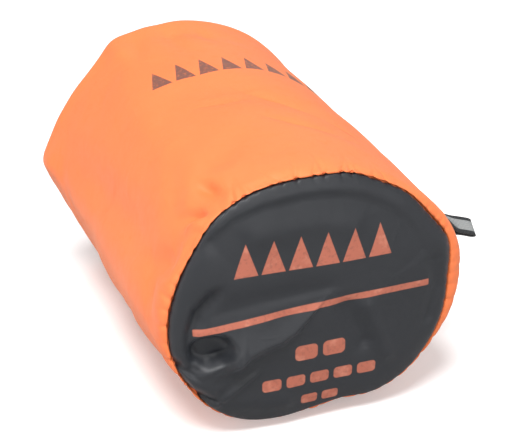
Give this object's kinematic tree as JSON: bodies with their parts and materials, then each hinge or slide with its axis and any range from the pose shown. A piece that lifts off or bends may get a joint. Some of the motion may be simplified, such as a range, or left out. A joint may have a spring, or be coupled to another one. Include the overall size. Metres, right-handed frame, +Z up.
{
  "type": "packed bivvy bag in a stuff sack",
  "caption": "Folded emergency bivvy bag packed in a small round stuff sack that lies on its side, with a dark end panel, a drawn-in mouth and a short tape loop.",
  "frame": {"origin": "middle of the flat strip on which the sack rests", "axes": "+Y along the sack from the dark end panel to the mouth, +X to the side with the tape loop, +Z up"},
  "size_m": [0.1213, 0.1386, 0.0903],
  "materials": {
    "orange_nylon": "coated nylon with a soft sheen",
    "charcoal_nylon": "coated nylon with a soft sheen",
    "grey_tape": "woven tape, silver grey with dark edges"
  },
  "bodies": {
    "root": {"sack_body": "orange_nylon", "end_panel": "charcoal_nylon", "haul_loop": "grey_tape"}
  },
  "joints": []
}
